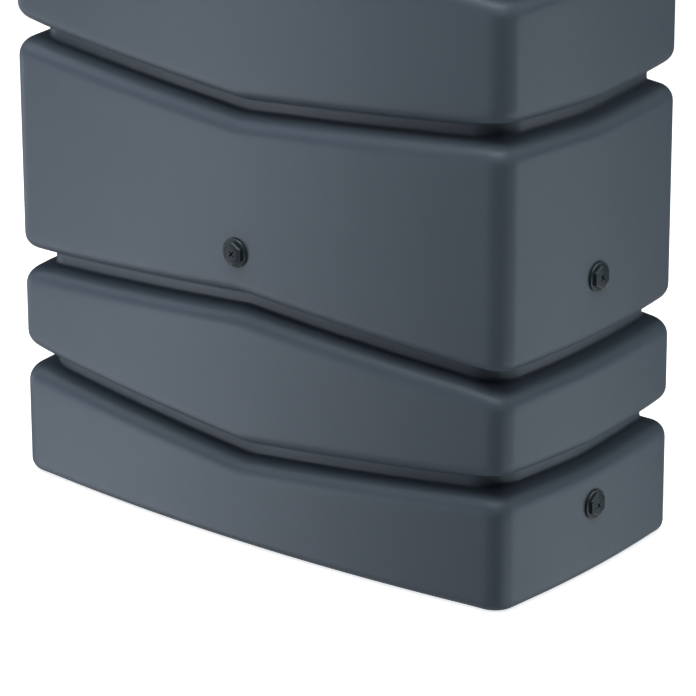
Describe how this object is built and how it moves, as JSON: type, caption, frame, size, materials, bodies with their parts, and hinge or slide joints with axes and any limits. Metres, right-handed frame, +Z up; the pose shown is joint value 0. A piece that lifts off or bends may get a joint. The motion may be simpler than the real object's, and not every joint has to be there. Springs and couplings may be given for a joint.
{
  "type": "slimline water tank",
  "caption": "Tall slim moulded water tank with zigzag ring grooves, bowed front and ends, blanking plugs in threaded ports and a screw lid on a round neck.",
  "frame": {"origin": "middle of the underside, half way between the straight back and the front corners", "axes": "+X along the width to the right, +Y to the straight back, +Z up"},
  "size_m": [0.8268, 0.3929, 1.35],
  "materials": {
    "tank_plastic": "fine moulded matt",
    "lid_plastic": "matt",
    "plug_plastic": "satin",
    "rubber": "matt",
    "brass": "machined"
  },
  "bodies": {
    "tank": {"tank_body": "tank_plastic", "insert_front": "brass", "insert_right_upper": "brass", "insert_right_lower": "brass", "insert_left_upper": "brass", "insert_left_lower": "brass"},
    "washer_front": {"washer_front": "rubber"},
    "plug_front": {"plug_front": "plug_plastic"},
    "washer_right_upper": {"washer_right_upper": "rubber"},
    "plug_right_upper": {"plug_right_upper": "plug_plastic"},
    "washer_right_lower": {"washer_right_lower": "rubber"},
    "plug_right_lower": {"plug_right_lower": "plug_plastic"},
    "washer_left_upper": {"washer_left_upper": "rubber"},
    "plug_left_upper": {"plug_left_upper": "plug_plastic"},
    "washer_left_lower": {"washer_left_lower": "rubber"},
    "plug_left_lower": {"plug_left_lower": "plug_plastic"},
    "lid_seal": {"lid_seal": "rubber"},
    "lid": {"screw_lid": "lid_plastic"}
  },
  "joints": [
    {"name": "plug_front_lift", "type": "slide", "parent": "tank", "child": "washer_front", "axis": [0, -1, 0], "range_m": [0, 0.01452]},
    {"name": "plug_front_turn", "type": "hinge", "parent": "washer_front", "child": "plug_front", "pos_m": [0, -0.2054, 0.395], "axis": [0, -1, 0], "range_deg": [0, 2880]},
    {"name": "plug_right_upper_lift", "type": "slide", "parent": "tank", "child": "washer_right_upper", "axis": [1, 0, 0], "range_m": [0, 0.01452]},
    {"name": "plug_right_upper_turn", "type": "hinge", "parent": "washer_right_upper", "child": "plug_right_upper", "pos_m": [0.4049, 0, 0.395], "axis": [1, 0, 0], "range_deg": [0, 2880]},
    {"name": "plug_right_lower_lift", "type": "slide", "parent": "tank", "child": "washer_right_lower", "axis": [1, 0, 0], "range_m": [0, 0.01452]},
    {"name": "plug_right_lower_turn", "type": "hinge", "parent": "washer_right_lower", "child": "plug_right_lower", "pos_m": [0.4049, 0, 0.095], "axis": [1, 0, 0], "range_deg": [0, 2880]},
    {"name": "plug_left_upper_lift", "type": "slide", "parent": "tank", "child": "washer_left_upper", "axis": [-1, 0, 0], "range_m": [0, 0.01452]},
    {"name": "plug_left_upper_turn", "type": "hinge", "parent": "washer_left_upper", "child": "plug_left_upper", "pos_m": [-0.4049, 0, 0.395], "axis": [-1, 0, 0], "range_deg": [0, 2880]},
    {"name": "plug_left_lower_lift", "type": "slide", "parent": "tank", "child": "washer_left_lower", "axis": [-1, 0, 0], "range_m": [0, 0.01452]},
    {"name": "plug_left_lower_turn", "type": "hinge", "parent": "washer_left_lower", "child": "plug_left_lower", "pos_m": [-0.4049, 0, 0.095], "axis": [-1, 0, 0], "range_deg": [0, 2880]},
    {"name": "lid_lift", "type": "slide", "parent": "tank", "child": "lid_seal", "axis": [0, 0, 1], "range_m": [0, 0.03201]},
    {"name": "lid_turn", "type": "hinge", "parent": "lid_seal", "child": "lid", "pos_m": [0, 0, 1.331], "axis": [0, 0, 1], "range_deg": [0, 1440]}
  ],
  "couplings": [
    {"joint": "plug_front_lift", "follows": "plug_front_turn", "m_per_rad": 0.00028871},
    {"joint": "plug_right_upper_lift", "follows": "plug_right_upper_turn", "m_per_rad": 0.00028871},
    {"joint": "plug_right_lower_lift", "follows": "plug_right_lower_turn", "m_per_rad": 0.00028871},
    {"joint": "plug_left_upper_lift", "follows": "plug_left_upper_turn", "m_per_rad": 0.00028871},
    {"joint": "plug_left_lower_lift", "follows": "plug_left_lower_turn", "m_per_rad": 0.00028871},
    {"joint": "lid_lift", "follows": "lid_turn", "m_per_rad": 0.0012732}
  ]
}
